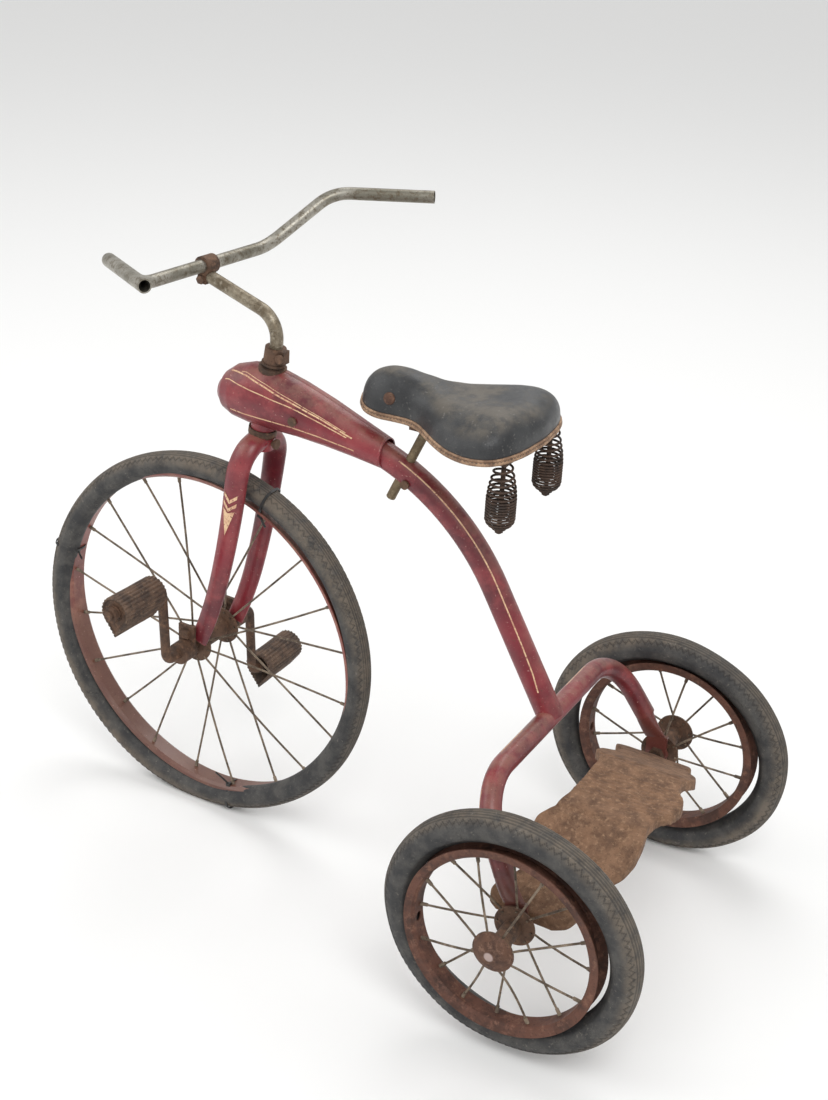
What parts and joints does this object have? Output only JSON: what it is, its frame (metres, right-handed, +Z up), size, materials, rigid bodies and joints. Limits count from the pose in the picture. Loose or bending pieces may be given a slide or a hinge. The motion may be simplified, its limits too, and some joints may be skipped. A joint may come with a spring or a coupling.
{
  "type": "children_tricycle",
  "caption": "Worn vintage children's tricycle in faded maroon steel: pedal-driven front wheel, leather saddle on coil springs, scalloped step plate, upswept handlebar.",
  "frame": {"origin": "on the ground at the middle of the length and of the width", "axes": "+X to the front wheel, +Y to the rider's left, +Z up"},
  "size_m": [0.9688, 0.5596, 0.8266],
  "materials": {
    "frame_paint": "satin enamel, worn, with rust spots",
    "deck_steel": "rust-brown pressed sheet",
    "rim_steel": "brown enamel over rust",
    "tyre_rubber": "dusty, cracked",
    "rusty_steel": "brown rust film",
    "spoke_steel": "dull, dirty",
    "bar_nickel": "dulled plating with specks",
    "saddle_leather": "charcoal, scuffed",
    "pedal_cover": "brown, ribbed",
    "strap_plastic": "black tie"
  },
  "bodies": {
    "frame": {"backbone_tube": "frame_paint", "head_tube": "frame_paint", "head_shell_left": "frame_paint", "head_shell_right": "frame_paint", "shell_screws": "rusty_steel", "rear_fork_tube": "frame_paint", "rear_axle": "rusty_steel", "rear_axle_nuts": "rusty_steel", "step_deck": "deck_steel", "deck_clips": "rusty_steel", "deck_bolts": "rusty_steel", "seat_clamp_bolt": "rusty_steel", "upper_headset_cup": "rusty_steel", "lower_headset_cup": "rusty_steel"},
    "fork": {"fork_crown": "frame_paint", "steerer_tube": "rusty_steel", "fork_blade_left": "frame_paint", "fork_blade_right": "frame_paint", "bearing_block_left": "rusty_steel", "bearing_block_right": "rusty_steel", "fork_bolts": "rusty_steel", "headset_race": "rusty_steel", "stem_collar": "bar_nickel"},
    "stem": {"gooseneck_stem": "bar_nickel", "bar_clamp": "bar_nickel", "bar_clamp_bolt": "bar_nickel"},
    "handlebar": {"handlebar": "bar_nickel"},
    "front_wheel": {"front_rim": "rim_steel", "front_tyre": "tyre_rubber", "front_hub": "rusty_steel", "front_spokes": "spoke_steel", "tyre_straps": "strap_plastic", "crank_left": "rusty_steel", "crank_right": "rusty_steel", "pedal_nuts": "rusty_steel"},
    "pedal_left": {"pedal_left_tread": "pedal_cover", "pedal_left_end_plate": "rusty_steel", "pedal_left_sleeve": "rusty_steel"},
    "pedal_right": {"pedal_right_tread": "pedal_cover", "pedal_right_end_plate": "rusty_steel", "pedal_right_sleeve": "rusty_steel"},
    "rear_wheel_left": {"rear_left_rim": "rim_steel", "rear_left_tyre": "tyre_rubber", "rear_left_hub": "rusty_steel", "rear_left_spokes": "spoke_steel", "rear_left_hub_cap": "rusty_steel"},
    "rear_wheel_right": {"rear_right_rim": "rim_steel", "rear_right_tyre": "tyre_rubber", "rear_right_hub": "rusty_steel", "rear_right_spokes": "spoke_steel", "rear_right_hub_cap": "rusty_steel"},
    "saddle": {"saddle_cover": "saddle_leather", "saddle_pan": "rusty_steel", "seat_post": "rusty_steel", "saddle_bracket": "rusty_steel", "saddle_rivets": "rusty_steel", "saddle_spring_bar": "rusty_steel", "saddle_spring_left": "rusty_steel", "saddle_spring_right": "rusty_steel", "spring_bolts": "rusty_steel"}
  },
  "joints": [
    {"name": "steering", "type": "hinge", "parent": "frame", "child": "fork", "pos_m": [0.14595, 0, 0.608], "axis": [-0.1461, 0, 0.9893], "continuous": true},
    {"name": "front_wheel_spin", "type": "hinge", "parent": "fork", "child": "front_wheel", "pos_m": [0.23105, -0.00187, 0.25399], "axis": [0.0569, 0.9982, -0.0195], "continuous": true},
    {"name": "pedal_left_spin", "type": "hinge", "parent": "front_wheel", "child": "pedal_left", "pos_m": [0.24408, 0.13768, 0.35982], "axis": [0.0569, 0.9983, 0.0136], "continuous": true},
    {"name": "pedal_right_spin", "type": "hinge", "parent": "front_wheel", "child": "pedal_right", "pos_m": [0.21836, -0.14124, 0.15847], "axis": [-0.0569, -0.997, 0.0527], "continuous": true},
    {"name": "rear_wheel_left_spin", "type": "hinge", "parent": "frame", "child": "rear_wheel_left", "pos_m": [-0.3269, 0.2408, 0.1573], "axis": [0, 1, 0], "continuous": true},
    {"name": "rear_wheel_right_spin", "type": "hinge", "parent": "frame", "child": "rear_wheel_right", "pos_m": [-0.3269, -0.2408, 0.1573], "axis": [0, 1, 0], "continuous": true},
    {"name": "seat_height", "type": "slide", "parent": "frame", "child": "saddle", "axis": [-0.401, 0, 0.9161], "range_m": [-0.02, 0.03]},
    {"name": "stem_height", "type": "slide", "parent": "fork", "child": "stem", "axis": [-0.1461, 0, 0.9893], "range_m": [0, 0.03]},
    {"name": "handlebar_tilt", "type": "hinge", "parent": "stem", "child": "handlebar", "pos_m": [0.24511, -0.01541, 0.74885], "axis": [0.1274, 0.9917, 0.0188], "range_deg": [-30, 30]}
  ]
}
